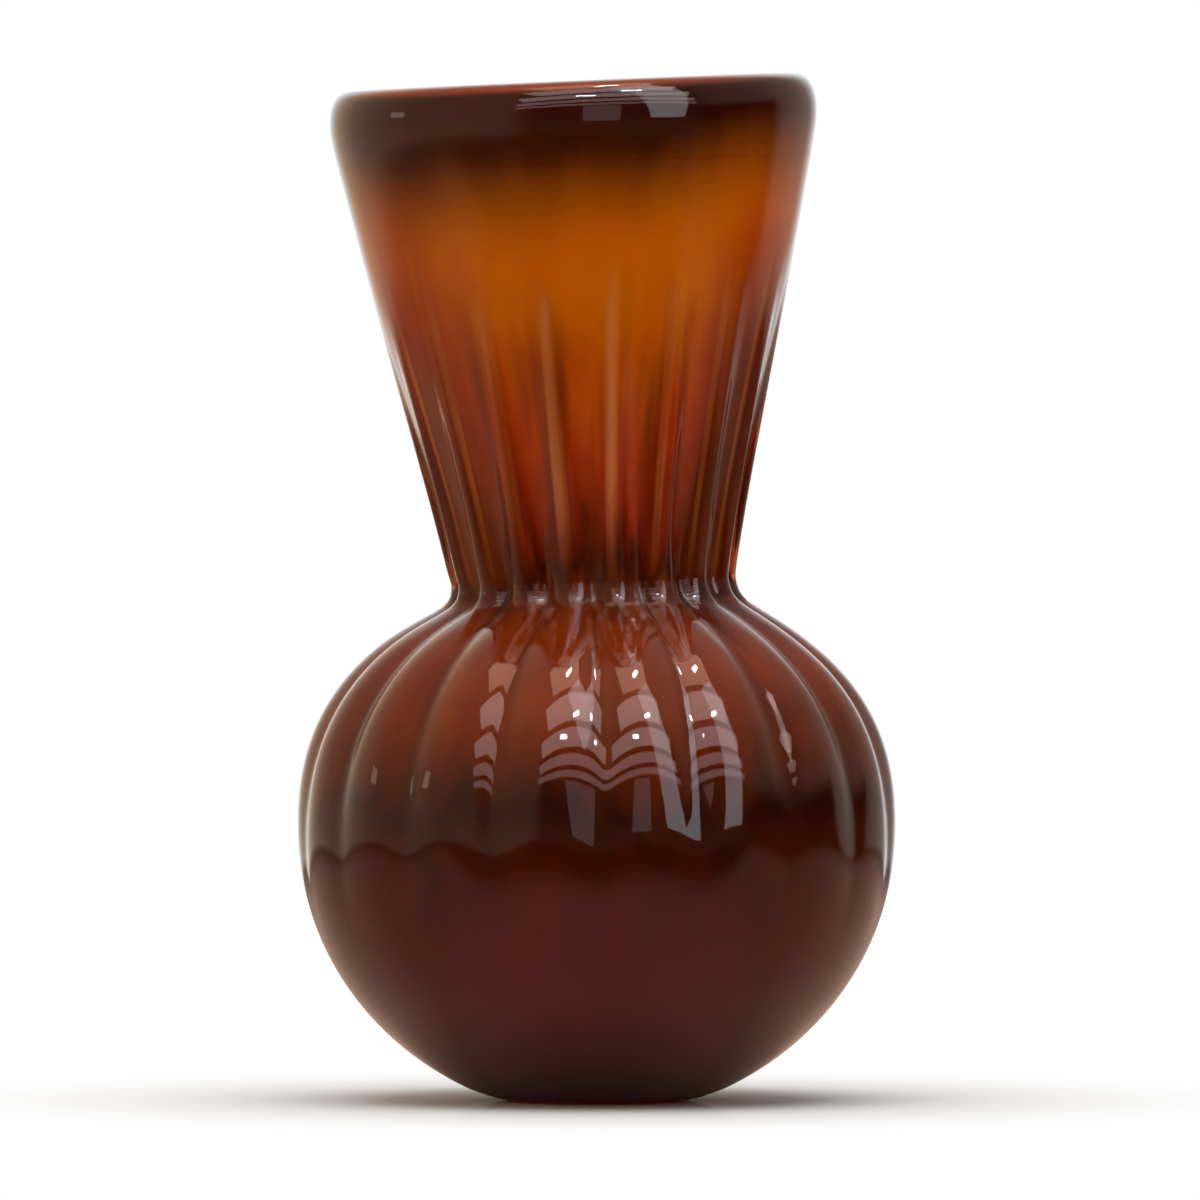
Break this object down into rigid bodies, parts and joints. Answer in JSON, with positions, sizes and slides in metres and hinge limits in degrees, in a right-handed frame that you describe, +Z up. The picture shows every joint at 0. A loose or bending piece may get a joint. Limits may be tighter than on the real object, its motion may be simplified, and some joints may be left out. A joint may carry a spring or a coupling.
{
  "type": "keyhole vase",
  "caption": "Blown glass flower vase with a ribbed globe, a tight waist and a tall flared collar that leans slightly, ending in a thick dark lip.",
  "frame": {"origin": "on the table, at the middle of the box round the vase, which is the globe's own axis", "axes": "+Z up along the globe's axis, -Y towards the viewer of the picture, the collar leans towards -X"},
  "size_m": [0.1058, 0.105, 0.1815],
  "materials": {
    "brown_casing_glass": "glossy dark brown glass, pressed into soft ribs and rolled over the rim",
    "amber_lining_glass": "translucent amber glass, smooth",
    "dark_lip_glass": "near-black brown glass, smooth"
  },
  "bodies": {
    "root": {"outer_casing": "brown_casing_glass", "inner_lining": "amber_lining_glass", "lip_band": "dark_lip_glass"}
  },
  "joints": []
}
